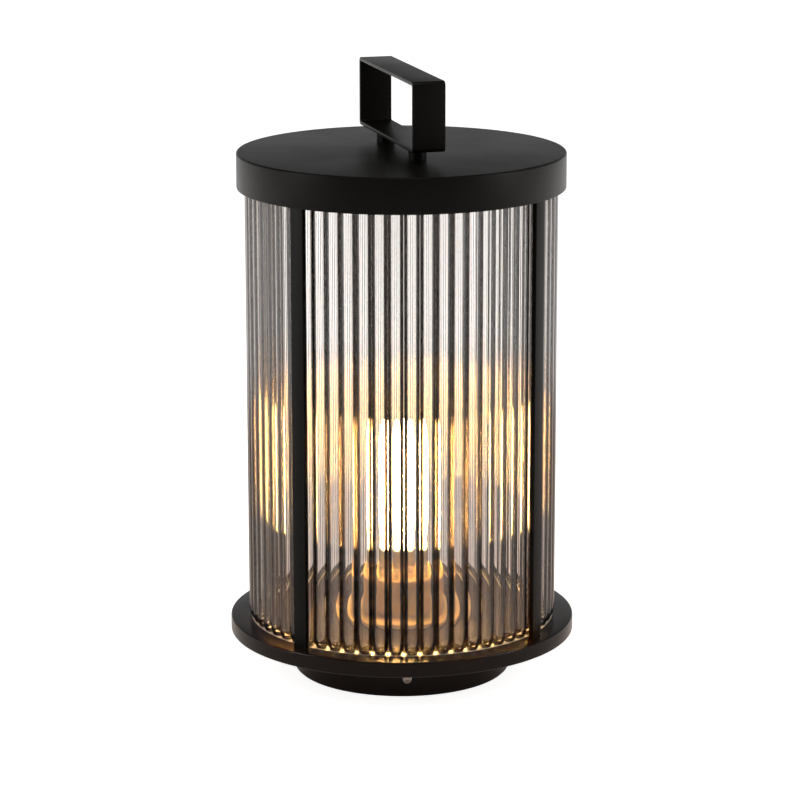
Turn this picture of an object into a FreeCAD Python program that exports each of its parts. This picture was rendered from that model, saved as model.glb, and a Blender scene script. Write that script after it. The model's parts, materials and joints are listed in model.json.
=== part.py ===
import FreeCAD, Part
import math
import os
import Sketcher

# Lantern floor lamp: a drum foot, a round base plate, a ring of clear glass tubes held
# between the plate and an upper frame ring, four flat posts, a shallow cap with a
# carrying handle, and a screw-in bulb in its holder.
# Origin: centre of the circle that the foot stands on. +Z is up, the handle lies along Y.

os.makedirs("parts", exist_ok=True)
doc = FreeCAD.newDocument("lantern_lamp")

# Driving dimensions, in millimetres, degrees and counts.
dimensions = {
    # gap between pieces that face each other, and between pieces that slip together
    "seat_gap": 0.3,
    "slip_gap": 0.1,
    # ring of glass tubes
    "tube_radius": 5.9,
    "tube_wall": 1.3,
    "tube_circle": 114.1,
    "tube_gap": 0.14,
    "tube_tip_radius": 3.0,
    "tube_shoulder_radius": 5.2,
    "tube_shoulder_rise": 3.5,
    "tube_taper_rise": 8.0,
    "tube_top_engage": 6.0,
    "groove_clearance": 0.15,
    "seat_groove_depth": 1.6,
    "seat_ring_height": 1.3,
    "seat_ring_margin": 1.5,
    # height of the glass that shows between the plate and the cap's rim
    "glass_show": 338.7,
    # posts
    "post_width": 12.0,
    "post_thickness": 3.8,
    "post_web": 0.5,
    "post_middle_angle": -6.85,
    "post_half_spread": 47.55,
    # foot drum
    "drum_radius": 84.2,
    "drum_wall": 1.6,
    "foot_pad_height": 1.5,
    "foot_pad_width": 7.0,
    "foot_pad_inset": 1.6,
    "plate_underside": 32.0,
    "cover_thickness": 1.6,
    "cover_margin": 10.6,
    "cover_overlap": 0.4,
    # base plate: a flat casing of a top tray and an underplate
    "plate_margin": 9.95,
    "plate_thickness": 12.0,
    "plate_wall": 3.0,
    "plate_rim": 2.5,
    "underplate_thickness": 1.5,
    "plate_edge_round": 1.2,
    "mount_ring_wall": 4.0,
    "mount_ring_height": 24.0,
    "mount_notch_width": 22.0,
    "mount_notch_height": 20.0,
    "drum_screw_angle": -13.1,
    "drum_screw_height": 14.5,
    # pillars between the bottom cover and the underplate
    "pillar_inset": 13.6,
    "pillar_radius": 4.5,
    # upper frame ring
    "frame_lift": 2.3,
    "frame_height": 14.0,
    "frame_width": 22.0,
    # cap
    "cap_wall": 1.2,
    "cap_depth": 27.4,
    "cap_round": 1.6,
    # bridge bar under the cap
    "bridge_width": 22.0,
    "bridge_thickness": 4.0,
    "bridge_inset": 5.0,
    "bridge_screw_inset": 11.5,
    # handle
    "handle_length": 151.2,
    "handle_width": 25.3,
    "handle_height": 53.0,
    "handle_strip": 3.0,
    "handle_bend": 3.6,
    "handle_inner_bend": 1.4,
    "handle_lift": 9.5,
    "boss_inset": 31.6,
    "boss_radius": 7.0,
    # lampholder and its stand
    "stem_radius": 5.0,
    "stem_bore": 3.9,
    "stem_tail": 10.0,
    "stem_head": 7.0,
    "nut_flats": 14.0,
    "nut_height": 3.0,
    "spacer_radius": 9.0,
    "disc_radius": 50.0,
    "disc_thickness": 3.0,
    "cup_radius": 33.0,
    "cup_height": 30.0,
    "cup_wall": 1.2,
    "cup_round": 4.0,
    "holder_radius": 20.0,
    "holder_waist": 17.5,
    "holder_height": 47.0,
    "holder_floor": 12.0,
    "holder_chamfer": 3.0,
    "holder_well_margin": 1.5,
    "shell_radius": 14.2,
    "shell_wall": 0.6,
    "shell_height": 24.0,
    # bulb
    "bulb_gap": 0.35,
    "bulb_cap_height": 25.0,
    "bulb_glass_radius": 21.0,
    "bulb_glass_height": 103.0,
    "bulb_shoulder_rise": 22.0,
    "bulb_wall": 0.9,
    "bulb_cap_skin": 0.5,
    "bulb_cap_taper": 1.2,
    "bulb_cap_taper_rise": 3.0,
    "bulb_neck_depth": 8.0,
    "insulator_rise": 1.5,
    "contact_height": 3.5,
    "contact_radius": 4.5,
    "contact_plate": 1.0,
    "contact_nose": 2.0,
    "filament_circle": 7.0,
    "filament_radius": 1.1,
    "filament_length": 48.0,
    "filament_count": 4,
    "filament_rise": 4.0,
    "filament_wire": 0.45,
    "glass_stem_foot": 10.0,
    "glass_stem_waist": 4.0,
    "glass_stem_top": 2.5,
    # wiring and inlet
    "inlet_bore": 3.3,
    "grommet_neck": 5.5,
    "grommet_flange": 8.0,
    "grommet_lip": 1.8,
    "grommet_slack": 0.6,
    "inlet_height": 16.0,
    "terminal_length": 32.0,
    "terminal_depth": 17.0,
    "terminal_height": 13.0,
    "terminal_offset": 34.0,
    "terminal_poles": 3,
    "terminal_bore": 1.6,
    "terminal_well": 2.2,
    # screws: shank radius, head radius and head height of each size, and the bite in a thread
    "small_screw": 1.5,
    "small_head": 2.8,
    "small_head_height": 1.2,
    "middle_screw": 2.0,
    "middle_head": 3.6,
    "middle_head_height": 1.8,
    "large_screw": 2.5,
    "large_head": 4.25,
    "large_head_height": 5.0,
    "screw_bite": 8.0,
    "short_bite": 4.5,
    "tap_lead": 0.5,
    "post_screw_drop": 4.5,
    "post_screw_length": 9.0,
}

sheet = doc.addObject("Spreadsheet::Sheet", "Sizes")
for row, (alias, value) in enumerate(dimensions.items(), start=1):
    sheet.set(f"A{row}", alias)
    sheet.set(f"B{row}", str(value))
    sheet.setAlias(f"B{row}", alias)
doc.recompute()


class Size:
    """A length or an angle: its number, and the sheet expression that it comes from."""

    def __init__(self, number, text):
        self.number = number
        self.text = text

    def joined(self, other, sign, number):
        return Size(number, f"({self.text} {sign} {as_size(other).text})")

    def __add__(self, other):
        return self.joined(other, "+", self.number + as_size(other).number)

    def __sub__(self, other):
        return self.joined(other, "-", self.number - as_size(other).number)

    def __mul__(self, other):
        return self.joined(other, "*", self.number * as_size(other).number)

    def __truediv__(self, other):
        return self.joined(other, "/", self.number / as_size(other).number)

    def __neg__(self):
        return Size(-self.number, f"(0 - {self.text})")


def as_size(value):
    return value if isinstance(value, Size) else Size(float(value), f"({float(value)})")


def cell(alias):
    return Size(float(sheet.get(alias)), f"Sizes.{alias}")


# Heights and radii that follow from the driving dimensions.
seat_gap = cell("seat_gap")
slip_gap = cell("slip_gap")
plate_bottom = cell("plate_underside")
plate_top = plate_bottom + cell("plate_thickness")
rim_bottom = plate_top + cell("glass_show")
cap_top = rim_bottom + cell("cap_depth")
cap_ceiling = cap_top - cell("cap_wall")
frame_bottom = rim_bottom + cell("frame_lift")
frame_top = frame_bottom + cell("frame_height")
bridge_top = frame_top + cell("bridge_thickness")
glass_radius = cell("tube_circle") + cell("tube_radius")
groove_outer = glass_radius + cell("groove_clearance")
groove_inner = cell("tube_circle") - cell("tube_radius") - cell("groove_clearance")
post_inner = groove_outer + cell("post_web") + slip_gap
post_outer = post_inner + cell("post_thickness")
cap_inner = post_outer + seat_gap
cap_outer = cap_inner + cell("cap_wall")
frame_outer = post_outer
frame_inner = frame_outer - cell("frame_width")
drum_inner = cell("drum_radius") - cell("drum_wall")
cover_radius = cell("drum_radius") - cell("cover_margin")
plate_radius = post_outer + cell("plate_margin")
underplate_top = plate_bottom + cell("underplate_thickness")
tube_foot = plate_top - cell("seat_groove_depth") + cell("seat_ring_height")
tube_head = frame_bottom + cell("tube_top_engage")
handle_bottom = cap_top + cell("handle_lift")
handle_top = handle_bottom + cell("handle_height")
disc_top = plate_top + cell("disc_thickness")
cup_floor = disc_top + cell("cup_wall")
holder_bottom = cup_floor + cell("nut_height")
holder_top = holder_bottom + cell("holder_height")
shell_bottom = holder_bottom + cell("holder_floor")
stem_top = holder_bottom + cell("stem_head")
shell_inner = cell("shell_radius") - cell("shell_wall")
bulb_cap_radius = shell_inner - cell("bulb_gap")
contact_top = shell_bottom + cell("contact_height")
tip_bottom = contact_top + seat_gap
bulb_cap_bottom = tip_bottom + cell("contact_height")
bulb_cap_top = bulb_cap_bottom + cell("bulb_cap_height")
drum_bottom = cell("foot_pad_height")
cover_top = drum_bottom + cell("cover_thickness")

# Plain numbers for the gaps and screws that many pieces share.
slip = slip_gap.number
small = cell("small_screw").number
small_head = cell("small_head").number
small_head_height = cell("small_head_height").number
middle = cell("middle_screw").number
middle_head = cell("middle_head").number
middle_head_height = cell("middle_head_height").number
large = cell("large_screw").number
bite = cell("screw_bite").number
tap_lead = cell("tap_lead").number

# Angles from -Y towards +X, in degrees: the handle's two ends, and the posts in two pairs.
handle_ends = (0, 180)
left_post = (cell("post_middle_angle") - cell("post_half_spread")).number
right_post = (cell("post_middle_angle") + cell("post_half_spread")).number
post_angles = {
    "post_front_left": left_post,
    "post_front_right": right_post,
    "post_rear_right": left_post + 180,
    "post_rear_left": right_post + 180,
}

nodes = []


def keep(piece, label):
    """Give a finished piece its name and put it on the list of nodes."""
    piece.Label = label
    nodes.append(piece)
    return piece


def arc_centre(start, end, radius, side):
    """Centre of an arc, to the left of the way from start to end for side 1, else right."""
    chord = (end[0] - start[0], end[1] - start[1])
    length = math.hypot(*chord)
    rise = math.sqrt(max(radius ** 2 - length ** 2 / 4, 0))
    middle = ((start[0] + end[0]) / 2, (start[1] + end[1]) / 2)
    return (middle[0] - side * chord[1] / length * rise, middle[1] + side * chord[0] / length * rise)


def add_outline(body, name, role, steps):
    """Closed outline on one of the body's planes.

    Each step is (x, y), reached by a line, or (x, y, radius, side), reached by an arc.
    """
    plane = next(feature for feature in body.Origin.OriginFeatures if feature.Role == role)
    sketch = body.newObject("Sketcher::SketchObject", name)
    sketch.AttachmentSupport = [(plane, "")]
    sketch.MapMode = "FlatFace"
    points = [(as_size(step[0]), as_size(step[1])) for step in steps]
    ends = []
    for index, step in enumerate(steps):
        start = [value.number for value in points[index - 1]]
        end = [value.number for value in points[index]]
        if len(step) == 2:
            line = Part.LineSegment(FreeCAD.Vector(*start, 0), FreeCAD.Vector(*end, 0))
            ends.append((sketch.addGeometry(line), 1, 2))
            continue
        radius, side = as_size(step[2]), step[3]
        centre = arc_centre(start, end, radius.number, side)
        first, last = (start, end) if side > 0 else (end, start)
        angles = [math.atan2(point[1] - centre[1], point[0] - centre[0]) for point in (first, last)]
        if angles[1] < angles[0]:
            angles[1] += 2 * math.pi
        circle = Part.Circle(FreeCAD.Vector(*centre, 0), FreeCAD.Vector(0, 0, 1), radius.number)
        edge = sketch.addGeometry(Part.ArcOfCircle(circle, *angles))
        ends.append((edge, 1, 2) if side > 0 else (edge, 2, 1))
    for index, (edge, start, end) in enumerate(ends):
        previous = ends[index - 1]
        sketch.addConstraint(Sketcher.Constraint("Coincident", previous[0], previous[2], edge, start))
        for axis, value in zip(("X", "Y"), points[index]):
            if value.number == 0:
                line = -2 if axis == "X" else -1
                sketch.addConstraint(Sketcher.Constraint("PointOnObject", edge, end, line))
                continue
            rule = Sketcher.Constraint(f"Distance{axis}", -1, 1, edge, end, value.number)
            sketch.setExpression(f"Constraints[{sketch.addConstraint(rule)}]", value.text)
        if len(steps[index]) > 2:
            radius = as_size(steps[index][2])
            rule = Sketcher.Constraint("Radius", edge, radius.number)
            sketch.setExpression(f"Constraints[{sketch.addConstraint(rule)}]", radius.text)
    return sketch


def revolved(name, steps):
    """A turned or spun piece: its outline in radius and height, round the Z axis."""
    body = doc.addObject("PartDesign::Body", name)
    sketch = add_outline(body, f"{name}_profile", "XZ_Plane", steps)
    turn = body.newObject("PartDesign::Revolution", f"{name}_turn")
    turn.Profile = sketch
    turn.ReferenceAxis = (sketch, ["V_Axis"])
    turn.Angle = 360
    body.Tip = turn
    return body


def ring_steps(inner, outer, bottom, top):
    """Outline of a plain ring, of a disc where inner is 0, or of a flat bar."""
    return [(inner, bottom), (outer, bottom), (outer, top), (inner, top)]


def padded(name, role, steps, length):
    """A piece of one outline, padded by half its length to each side of the plane."""
    body = doc.addObject("PartDesign::Body", name)
    sketch = add_outline(body, f"{name}_outline", role, steps)
    pad = body.newObject("PartDesign::Pad", f"{name}_pad")
    pad.Profile = sketch
    pad.Midplane = True
    pad.setExpression("Length", length.text)
    body.Tip = pad
    return body


def direction(angle):
    """Level direction at an angle from -Y, counted towards +X."""
    turn = math.radians(angle)
    return FreeCAD.Vector(math.sin(turn), -math.cos(turn), 0)


def at(angle, radius, height):
    return direction(angle) * radius + FreeCAD.Vector(0, 0, height)


UP = FreeCAD.Vector(0, 0, 1)


def peg(position, radius, length, along=UP):
    """A round bar that starts at position."""
    return Part.makeCylinder(radius, length, position, along)


def drill(position, radius, depth, along=UP):
    """The tool for a hole right through a wall, which runs past both faces by the wall's depth."""
    return peg(position - along * depth, radius, 3 * depth, along)


def block(angle, radius, height, width, depth, rise):
    """A box whose inner face stands at a radius, turned to face an angle."""
    box = Part.makeBox(width, depth, rise, FreeCAD.Vector(-width / 2, -radius - depth, height))
    box.rotate(FreeCAD.Vector(), UP, angle)
    return box


def add_shape(label, shape):
    """A node made of one finished shape."""
    feature = doc.addObject("Part::Feature", label)
    feature.Shape = shape
    return keep(feature, label)


def group(label, solids):
    """Identical pieces that share one node and stay separate solids."""
    return add_shape(label, Part.makeCompound(solids))


def cut(label, blank, tools):
    """A piece less the holes, slots and sockets in it."""
    holes = doc.addObject("Part::Feature", f"{label}_holes")
    holes.Shape = Part.makeCompound(tools)
    result = doc.addObject("Part::Cut", label)
    result.Base = blank
    result.Tool = holes
    return keep(result, label)


def screw(position, along, radius, length, head_radius, head_height):
    """A pan or cylinder head screw: its head is at position and its shank points along."""
    head = peg(position, head_radius, head_height, along)
    shank = peg(position + along * head_height, radius, length, along)
    return head.fuse(shank).removeSplitter()


def flush_screw(position, along, radius, length, head_radius):
    """A countersunk screw whose flat head lies at position."""
    cone_height = head_radius - radius
    cone = Part.makeCone(head_radius, radius, cone_height, position, along)
    shank = peg(position + along * cone_height, radius, length, along)
    return cone.fuse(shank).removeSplitter()


# --- foot drum: a spun pan with a turned-in lip, screwed to its mount ring ---
drum_radius = cell("drum_radius")
drum_wall = cell("drum_wall")
lip_inner = cover_radius + cell("cover_overlap")
drum_blank = revolved("base_drum_blank", [
    (lip_inner, drum_bottom),
    (drum_radius, drum_bottom),
    (drum_radius, plate_bottom),
    (drum_inner, plate_bottom),
    (drum_inner, drum_bottom + drum_wall),
    (lip_inner, drum_bottom + drum_wall),
])
drum_screw_count = 3
first_screw = cell("drum_screw_angle").number
drum_screw_angles = [first_screw + 360 / drum_screw_count * i for i in range(drum_screw_count)]
drum_screw_height = cell("drum_screw_height").number
inlet_angle = 180
inlet_height = cell("inlet_height").number
grommet_hole = (cell("grommet_neck") + slip_gap).number
cut(
    "base_drum",
    drum_blank,
    [drill(at(a, drum_radius.number, drum_screw_height), middle + slip, drum_wall.number, -direction(a))
     for a in drum_screw_angles]
    + [drill(at(inlet_angle, drum_radius.number, inlet_height), grommet_hole, drum_wall.number,
             -direction(inlet_angle))],
)
pad_outer = drum_radius - cell("foot_pad_inset")
keep(revolved("rubber_foot_ring", ring_steps(pad_outer - cell("foot_pad_width"), pad_outer, 0, drum_bottom)),
     "rubber_foot_ring")

# --- bottom cover on its pillars ---
pillar_count = 3
first_pillar = 90
pillar_circle = (cover_radius - cell("pillar_inset")).number
pillar_angles = [first_pillar + 360 / pillar_count * i for i in range(pillar_count)]
pillar_radius = cell("pillar_radius").number
cover_thickness = cell("cover_thickness").number
cover_blank = revolved("bottom_cover_blank", ring_steps(0, cover_radius, drum_bottom, cover_top))
cut("bottom_cover", cover_blank, [
    drill(at(a, pillar_circle, drum_bottom.number), small + slip, cover_thickness) for a in pillar_angles
])
pillar_height = (plate_bottom - cover_top).number
group("cover_pillars", [
    peg(at(a, pillar_circle, cover_top.number), pillar_radius, pillar_height).cut(
        peg(at(a, pillar_circle, cover_top.number), small, bite))
    for a in pillar_angles
])
cover_screw_foot = drum_bottom.number - small_head_height
group("cover_screws", [
    screw(at(a, pillar_circle, cover_screw_foot), UP, small, cover_thickness + bite, small_head,
          small_head_height)
    for a in pillar_angles
])

# --- base plate: a tray turned over, with the tubes' groove and the posts' slots ---
edge = cell("plate_edge_round")
seat_half = cell("tube_tip_radius") + cell("seat_ring_margin")
seat_inner = cell("tube_circle") - seat_half
seat_outer = cell("tube_circle") + seat_half
groove_floor = plate_top - cell("seat_groove_depth")
tray_inner = plate_radius - cell("plate_rim")
tray_ceiling = plate_top - cell("plate_wall")
plate_blank = revolved("base_plate_blank", [
    (tray_inner, tray_ceiling),
    (tray_inner, plate_bottom),
    (plate_radius - edge, plate_bottom),
    (plate_radius, plate_bottom + edge, edge, 1),
    (plate_radius, plate_top - edge),
    (plate_radius - edge, plate_top, edge, 1),
    (seat_outer + slip_gap, plate_top),
    (seat_outer + slip_gap, groove_floor),
    (seat_inner - slip_gap, groove_floor),
    (seat_inner - slip_gap, plate_top),
    (0, plate_top),
    (0, tray_ceiling),
])
post_width = cell("post_width").number
post_thickness = cell("post_thickness").number
post_foot = underplate_top.number
post_middle = post_inner.number + post_thickness / 2
slot_inner = (post_inner - slip_gap).number
slot_width = post_width + 2 * slip
slot_depth = post_thickness + 2 * slip
stem_hole = cell("stem_radius") + slip_gap
stem_drill = drill(at(0, 0, plate_bottom.number), stem_hole.number, cell("plate_thickness").number)
cut("base_plate", plate_blank, [stem_drill] + [
    block(angle, slot_inner, post_foot, slot_width, slot_depth, cell("plate_thickness").number)
    for angle in post_angles.values()
])
seat_ring = revolved("tube_seat_ring", ring_steps(seat_inner, seat_outer, groove_floor, tube_foot))
keep(seat_ring, "tube_seat_ring")

# --- underplate that closes the casing, and the ring that carries the drum ---
underplate_blank = revolved("base_underplate_blank",
                            ring_steps(0, tray_inner - slip_gap, plate_bottom, underplate_top))
cut("base_underplate", underplate_blank, [stem_drill] + [
    drill(at(angle, post_middle, plate_bottom.number), small + slip, cell("underplate_thickness").number)
    for angle in post_angles.values()
])
mount_outer = drum_inner - slip_gap
mount_inner = mount_outer - cell("mount_ring_wall")
mount_wall = cell("mount_ring_wall").number
mount_bottom = plate_bottom - cell("mount_ring_height")
mount_blank = revolved("drum_mount_blank", ring_steps(mount_inner, mount_outer, mount_bottom, plate_bottom))
cut("drum_mount_ring", mount_blank, [
    block(inlet_angle, mount_inner.number - mount_wall, mount_bottom.number - mount_wall,
          cell("mount_notch_width").number, 3 * mount_wall, cell("mount_notch_height").number + mount_wall)
] + [
    drill(at(a, mount_outer.number, drum_screw_height), middle, mount_wall, -direction(a))
    for a in drum_screw_angles
])
group("drum_screws", [
    screw(at(a, drum_radius.number + middle_head_height, drum_screw_height), -direction(a), middle,
          mount_wall + drum_wall.number, middle_head, middle_head_height)
    for a in drum_screw_angles
])

# --- posts: flat bars from the underplate up into the frame ring's slots ---
post_screw_height = (frame_top - cell("post_screw_drop")).number
post_screw_length = cell("post_screw_length").number
for label, angle in post_angles.items():
    bar = block(angle, post_inner.number, post_foot, post_width, post_thickness, frame_top.number - post_foot)
    screw_face = at(angle, post_outer.number, post_screw_height)
    countersink = flush_screw(screw_face, -direction(angle), small + slip, post_thickness, small_head + slip)
    foot_hole = peg(at(angle, post_middle, post_foot), small, bite + tap_lead)
    add_shape(label, bar.cut(Part.makeCompound([countersink, foot_hole])))
group("post_top_screws", [
    flush_screw(at(a, post_outer.number, post_screw_height), -direction(a), small, post_screw_length,
                small_head)
    for a in post_angles.values()
])
group("post_base_screws", [
    screw(at(a, post_middle, plate_bottom.number - small_head_height), UP, small,
          post_foot - plate_bottom.number + bite, small_head, small_head_height)
    for a in post_angles.values()
])

# --- glass tubes, in four groups of neighbours ---
tube = cell("tube_radius").number
tube_bore = (cell("tube_radius") - cell("tube_wall")).number
tube_height = (tube_head - tube_foot).number
tip_radius = cell("tube_tip_radius").number
shoulder_radius = cell("tube_shoulder_radius").number
shoulder_rise = cell("tube_shoulder_rise").number
taper_rise = cell("tube_taper_rise").number
floor_rise = shoulder_rise + cell("tube_wall").number


def glass_tube(angle):
    """One tube: open at the top, drawn in and closed at its lower end."""
    outline = [
        (0, 0),
        (tip_radius, 0),
        (shoulder_radius, shoulder_rise),
        (tube, taper_rise),
        (tube, tube_height),
        (tube_bore, tube_height),
        (tube_bore, taper_rise),
        (tip_radius, floor_rise),
        (0, floor_rise),
        (0, 0),
    ]
    wire = Part.makePolygon([FreeCAD.Vector(radius, 0, rise) for radius, rise in outline])
    solid = Part.Face(wire).revolve(FreeCAD.Vector(), UP, 360)
    solid.translate(at(angle, cell("tube_circle").number, tube_foot.number))
    return solid


# As many tubes as stand side by side on the circle.
tube_count = int(2 * math.pi * cell("tube_circle").number / (2 * tube + cell("tube_gap").number))
tube_pitch = 360 / tube_count
first_tube = tube_pitch / 2 - 45
tube_groups = ("glass_tubes_front", "glass_tubes_right", "glass_tubes_rear", "glass_tubes_left")
for part, label in enumerate(tube_groups):
    first = part * tube_count // len(tube_groups)
    last = (part + 1) * tube_count // len(tube_groups)
    group(label, [glass_tube(first_tube + i * tube_pitch) for i in range(first, last)])

# --- upper frame ring: slots for the posts, and a groove that holds the tubes' tops ---
frame_blank = revolved("upper_frame_blank", [
    (frame_inner, frame_bottom),
    (groove_inner, frame_bottom),
    (groove_inner, tube_head + seat_gap),
    (groove_outer, tube_head + seat_gap),
    (groove_outer, frame_bottom),
    (frame_outer, frame_bottom),
    (frame_outer, frame_top),
    (frame_inner, frame_top),
])
frame_height = cell("frame_height").number
bridge_circle = (frame_outer - cell("bridge_screw_inset")).number
short_bite = cell("short_bite").number
frame_tools = []
for angle in post_angles.values():
    frame_tools.append(block(angle, slot_inner, frame_bottom.number - frame_height, slot_width, slot_depth,
                             3 * frame_height))
    frame_tools.append(peg(at(angle, post_outer.number, post_screw_height), small,
                           post_thickness + post_screw_length, -direction(angle)))
for angle in handle_ends:
    frame_tools.append(peg(at(angle, bridge_circle, frame_top.number), middle, short_bite + tap_lead, -UP))
cut("upper_frame_ring", frame_blank, frame_tools)

# --- bridge bar across the frame ring, which carries the cap and the handle ---
bridge_half = frame_outer - cell("bridge_inset")
bridge_steps = ring_steps(-bridge_half, bridge_half, frame_top, bridge_top)
bridge_blank = padded("bridge_blank", "YZ_Plane", bridge_steps, cell("bridge_width"))
bridge_thickness = cell("bridge_thickness").number
boss_offset = (cell("handle_length") / 2 - cell("boss_inset")).number
boss_radius = cell("boss_radius").number
cut("cap_bridge_bar", bridge_blank, [
    drill(at(a, bridge_circle, frame_top.number), middle + slip, bridge_thickness) for a in handle_ends
] + [
    drill(at(a, boss_offset, frame_top.number), large + slip, bridge_thickness) for a in handle_ends
])
group("bridge_screws", [
    screw(at(a, bridge_circle, bridge_top.number + middle_head_height), -UP, middle,
          bridge_thickness + short_bite, middle_head, middle_head_height)
    for a in handle_ends
])
spacer_height = (cap_ceiling - bridge_top).number
group("cap_spacers", [
    peg(at(a, boss_offset, bridge_top.number), boss_radius, spacer_height).cut(
        drill(at(a, boss_offset, bridge_top.number), large + slip, spacer_height))
    for a in handle_ends
])

# --- cap: a shallow spun pan, turned over ---
curve = cell("cap_round")
cap_blank = revolved("cap_shell_blank", [
    (0, cap_ceiling),
    (cap_inner, cap_ceiling),
    (cap_inner, rim_bottom),
    (cap_outer, rim_bottom),
    (cap_outer, cap_top - curve),
    (cap_outer - curve, cap_top, curve, 1),
    (0, cap_top),
])
cut("cap_shell", cap_blank, [
    drill(at(a, boss_offset, cap_ceiling.number), large + slip, cell("cap_wall").number) for a in handle_ends
])

# --- handle: a loop of flat bar, welded to two tapped bosses ---
half = cell("handle_length") / 2
strip = cell("handle_strip")


def rounded_box(left, right, bottom, top, radius):
    """Steps of a rectangle with round corners, counter-clockwise."""
    return [
        (right - radius, bottom), (right, bottom + radius, radius, 1),
        (right, top - radius), (right - radius, top, radius, 1),
        (left + radius, top), (left, top - radius, radius, 1),
        (left, bottom + radius), (left + radius, bottom, radius, 1),
    ]


loop = doc.addObject("PartDesign::Body", "handle_loop")
loop_pad = loop.newObject("PartDesign::Pad", "handle_pad")
loop_pad.Profile = add_outline(loop, "handle_outside", "YZ_Plane",
                               rounded_box(-half, half, handle_bottom, handle_top, cell("handle_bend")))
loop_pad.Midplane = True
loop_pad.setExpression("Length", cell("handle_width").text)
loop_hole = loop.newObject("PartDesign::Pocket", "handle_opening")
loop_hole.Profile = add_outline(loop, "handle_inside", "YZ_Plane",
                                rounded_box(-half + strip, half - strip, handle_bottom + strip,
                                            handle_top - strip, cell("handle_inner_bend")))
loop_hole.Type = "ThroughAll"
loop_hole.Midplane = True
loop.Tip = loop_hole
keep(loop, "handle_loop")
group("handle_bosses", [
    peg(at(a, boss_offset, cap_top.number), boss_radius, cell("handle_lift").number).cut(
        peg(at(a, boss_offset, cap_top.number), large, bite + tap_lead))
    for a in handle_ends
])
large_head_height = cell("large_head_height").number
group("handle_screws", [
    screw(at(a, boss_offset, frame_top.number - large_head_height), UP, large,
          (cap_top - frame_top).number + bite, cell("large_head").number, large_head_height)
    for a in handle_ends
])

# --- lampholder stand: disc, cup, threaded stem, spacer and nuts ---
keep(revolved("holder_disc", ring_steps(stem_hole, cell("disc_radius"), plate_top, disc_top)), "holder_disc")
cup_top = disc_top + cell("cup_height")
cup_outer = cell("cup_radius")
cup_inner = cup_outer - cell("cup_wall")
round_out = cell("cup_round")
round_in = round_out - cell("cup_wall")
keep(revolved("holder_cup", [
    (stem_hole, disc_top),
    (cup_outer - round_out, disc_top),
    (cup_outer, disc_top + round_out, round_out, 1),
    (cup_outer, cup_top),
    (cup_inner, cup_top),
    (cup_inner, cup_floor + round_in),
    (cup_inner - round_in, cup_floor, round_in, -1),
    (stem_hole, cup_floor),
]), "holder_cup")
stem_bottom = plate_bottom - cell("stem_tail")
keep(revolved("stem_tube", ring_steps(cell("stem_bore"), cell("stem_radius"), stem_bottom, stem_top)),
     "stem_tube")
keep(revolved("stem_spacer", ring_steps(stem_hole, cell("spacer_radius"), underplate_top, tray_ceiling)),
     "stem_spacer")
nut_height = cell("nut_height").number
nut_sides = 6
nut_corner = cell("nut_flats").number / math.sqrt(3)


def hex_nut(height):
    """A thin hexagon nut on the stem, with its lower face at a height."""
    points = [at(360 / nut_sides * i, nut_corner, height) for i in range(nut_sides + 1)]
    nut = Part.Face(Part.makePolygon(points)).extrude(UP * nut_height)
    return nut.cut(drill(at(0, 0, height), stem_hole.number, nut_height))


group("stem_nuts", [hex_nut(plate_bottom.number - nut_height), hex_nut(cup_floor.number)])

# --- lampholder: body with a well for the contact, brass shell and centre contact ---
cavity = cell("shell_radius") + slip_gap
contact_well = cell("contact_radius") + cell("holder_well_margin")
well_floor = stem_top + slip_gap
keep(revolved("lampholder_body", [
    (stem_hole, holder_bottom),
    (cell("holder_waist"), holder_bottom),
    (cell("holder_waist"), shell_bottom),
    (cell("holder_radius"), shell_bottom + cell("holder_chamfer")),
    (cell("holder_radius"), holder_top),
    (cavity, holder_top),
    (cavity, shell_bottom),
    (contact_well, shell_bottom),
    (contact_well, well_floor),
    (stem_hole, well_floor),
]), "lampholder_body")
keep(revolved("lampholder_shell", ring_steps(shell_inner, cell("shell_radius"), shell_bottom,
                                             shell_bottom + cell("shell_height"))), "lampholder_shell")
contact_nose = cell("contact_nose")
contact_plate = cell("contact_plate")
keep(revolved("lampholder_contact", [
    (0, well_floor),
    (contact_well - seat_gap, well_floor),
    (contact_well - seat_gap, well_floor + contact_plate),
    (contact_nose, contact_top - contact_plate),
    (contact_nose, contact_top),
    (0, contact_top),
]), "lampholder_contact")

# --- bulb: tip contact, insulator and screw cap ---
taper = cell("bulb_cap_taper")
skin = cell("bulb_cap_skin")
tip_top = bulb_cap_bottom - cell("insulator_rise") + slip_gap
keep(revolved("bulb_tip", [
    (0, tip_bottom),
    (cell("contact_radius") - taper, tip_bottom),
    (cell("contact_radius"), tip_bottom + taper),
    (cell("contact_radius"), tip_top - slip_gap),
    (0, tip_top - slip_gap),
]), "bulb_tip")
insulator_top = bulb_cap_bottom + cell("insulator_rise")
keep(revolved("bulb_insulator", [
    (0, tip_top),
    (cell("contact_radius") + taper, tip_top),
    (bulb_cap_radius - taper, insulator_top),
    (0, insulator_top),
]), "bulb_insulator")
lip_radius = bulb_cap_radius - taper + slip_gap
cap_shoulder = bulb_cap_bottom + cell("bulb_cap_taper_rise")
keep(revolved("bulb_screw_cap", [
    (lip_radius, insulator_top),
    (bulb_cap_radius, cap_shoulder),
    (bulb_cap_radius, bulb_cap_top),
    (bulb_cap_radius - skin, bulb_cap_top),
    (bulb_cap_radius - skin, cap_shoulder + slip_gap),
    (lip_radius - skin, insulator_top + slip_gap),
]), "bulb_screw_cap")

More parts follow.
